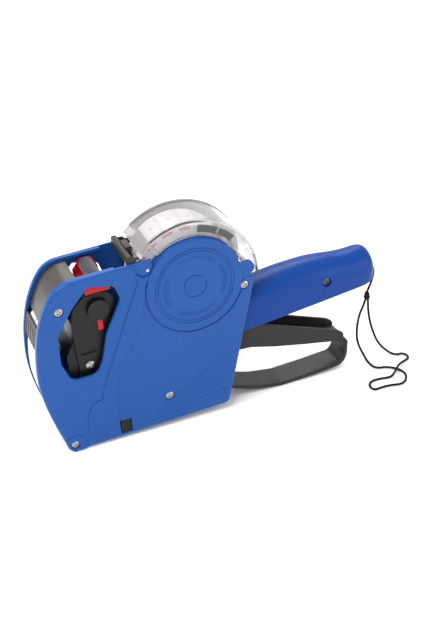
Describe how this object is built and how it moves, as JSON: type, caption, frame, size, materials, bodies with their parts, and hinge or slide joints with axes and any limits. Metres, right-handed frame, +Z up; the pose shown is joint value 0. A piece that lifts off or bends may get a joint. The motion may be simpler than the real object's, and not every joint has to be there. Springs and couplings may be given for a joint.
{
  "type": "price labeling gun",
  "caption": "Hand held price labeller: moulded body with label roll under a clear cover, print head with pull-out number knob, squeeze lever, grip and wrist cord.",
  "frame": {"origin": "centre of the footprint of the labeller without its cord, on the surface it stands on", "axes": "+X from the label outlet at the nose to the grip, +Y across the body to the right side cover, +Z up; the gun rests on its nose corner and the lowest bend of its trigger, tilted 2.6 degrees rear up"},
  "size_m": [0.2553, 0.0625, 0.1407],
  "materials": {
    "body_blue": "satin moulded",
    "handle_blue": "satin moulded, fine grain",
    "dark_grey": "satin moulded",
    "black_plastic": "satin moulded",
    "dark_bar": "satin moulded",
    "red_plastic": "satin moulded",
    "smoked_clear": "smoked translucent plastic",
    "clear_plastic": "clear polished plastic",
    "steel": "turned",
    "bright_screw": "zinc plated",
    "print_rubber": "moulded",
    "ink_felt": "inked felt",
    "label_paper": "uncoated",
    "core_card": "wound",
    "white_plastic": "moulded",
    "feed_rubber": "moulded",
    "cord_black": "braided"
  },
  "bodies": {
    "body": {"left_cover": "body_blue", "right_cover": "body_blue", "nose_visor": "smoked_clear", "handle_left_half": "handle_blue", "handle_right_half": "handle_blue", "main_shaft": "steel", "return_spring": "steel", "ink_holder": "red_plastic", "ink_axle": "steel", "label_strip": "label_paper", "tape_guide": "body_blue", "tape_keeper": "dark_grey", "platen": "feed_rubber", "platen_block": "dark_grey", "roll_spindle": "dark_grey", "feed_axle": "steel", "pawl_pin": "steel", "applicator_axle": "steel", "lid_hinge_pin": "steel", "latch_pins": "steel", "bottom_hinge_pin": "steel", "spacer_posts": "body_blue", "case_screws": "bright_screw", "handle_screw": "bright_screw", "lanyard_stub": "cord_black", "lanyard_knot": "cord_black", "lanyard_loop": "cord_black"},
    "lever": {"trigger_lever": "dark_grey"},
    "print_head": {"head_plate_left": "black_plastic", "head_plate_right": "black_plastic", "head_bridge": "black_plastic", "head_top_bridge": "black_plastic", "head_front_shield": "black_plastic", "type_bar": "black_plastic", "print_bands": "print_rubber", "band_wheels": "white_plastic", "digit_pointer": "red_plastic", "head_screws": "bright_screw"},
    "selector": {"selector_shaft": "steel"},
    "knob": {"selector_knob": "black_plastic"},
    "ink": {"ink_roller": "ink_felt"},
    "roll": {"label_roll": "label_paper", "roll_core": "core_card"},
    "feed": {"feed_drum": "feed_rubber", "ratchet_wheel": "white_plastic"},
    "applicator": {"applicator_roller": "feed_rubber"},
    "pawl": {"ratchet_pawl": "white_plastic"},
    "lid": {"clear_cover": "clear_plastic", "roll_guide_cheeks": "black_plastic"},
    "latch": {"lid_latch": "dark_bar", "latch_rod": "bright_screw"},
    "underside_door": {"bottom_cover": "body_blue"},
    "button_left": {"latch_button_left": "black_plastic"},
    "button_right": {"latch_button_right": "black_plastic"}
  },
  "joints": [
    {"name": "lever_squeeze", "type": "hinge", "parent": "body", "child": "lever", "pos_m": [-0.02375, 0, 0.06364], "axis": [0, -1, 0], "range_deg": [0, 15], "stiffness_Nm_per_rad": 1.5, "springref_deg": -20.05},
    {"name": "head_stroke", "type": "hinge", "parent": "body", "child": "print_head", "pos_m": [-0.02375, 0, 0.06364], "axis": [0, -1, 0], "range_deg": [0, 8.4]},
    {"name": "selector_pull", "type": "slide", "parent": "print_head", "child": "selector", "axis": [0, -1, 0], "range_m": [0, 0.005]},
    {"name": "knob_turn", "type": "hinge", "parent": "selector", "child": "knob", "pos_m": [-0.07336, 0, 0.09572], "axis": [0, -1, 0], "continuous": true},
    {"name": "ink_spin", "type": "hinge", "parent": "body", "child": "ink", "pos_m": [-0.07168, 0, 0.11381], "axis": [0, -1, 0], "continuous": true},
    {"name": "roll_spin", "type": "hinge", "parent": "body", "child": "roll", "pos_m": [-0.01639, 0, 0.10431], "axis": [0, -1, 0], "continuous": true},
    {"name": "feed_spin", "type": "hinge", "parent": "body", "child": "feed", "pos_m": [-0.05615, 0, 0.02753], "axis": [0, -1, 0], "continuous": true},
    {"name": "applicator_spin", "type": "hinge", "parent": "body", "child": "applicator", "pos_m": [-0.09899, 0, 0.00536], "axis": [0, -1, 0], "continuous": true},
    {"name": "pawl_swing", "type": "hinge", "parent": "body", "child": "pawl", "pos_m": [-0.03858, 0, 0.02853], "axis": [0, 1, 0], "range_deg": [0, 10], "stiffness_Nm_per_rad": 0.01, "springref_deg": -17.19},
    {"name": "lid_open", "type": "hinge", "parent": "body", "child": "lid", "pos_m": [0.02278, 0, 0.10139], "axis": [0, 1, 0], "range_deg": [0, 85]},
    {"name": "latch_open", "type": "hinge", "parent": "body", "child": "latch", "pos_m": [-0.04183, 0, 0.11547], "axis": [0, -1, 0], "range_deg": [0, 18], "stiffness_Nm_per_rad": 0.05, "springref_deg": -11.46},
    {"name": "underside_door_open", "type": "hinge", "parent": "body", "child": "underside_door", "pos_m": [0.00139, 0, 0.00812], "axis": [0, -1, 0], "range_deg": [0, 75]},
    {"name": "button_left_press", "type": "slide", "parent": "body", "child": "button_left", "axis": [0, 1, 0], "range_m": [0, 0.002], "stiffness_N_per_m": 600, "springref_m": -0.001},
    {"name": "button_right_press", "type": "slide", "parent": "body", "child": "button_right", "axis": [0, -1, 0], "range_m": [0, 0.002], "stiffness_N_per_m": 600, "springref_m": -0.001}
  ],
  "couplings": [
    {"joint": "head_stroke", "follows": "lever_squeeze", "ratio": 0.55}
  ]
}
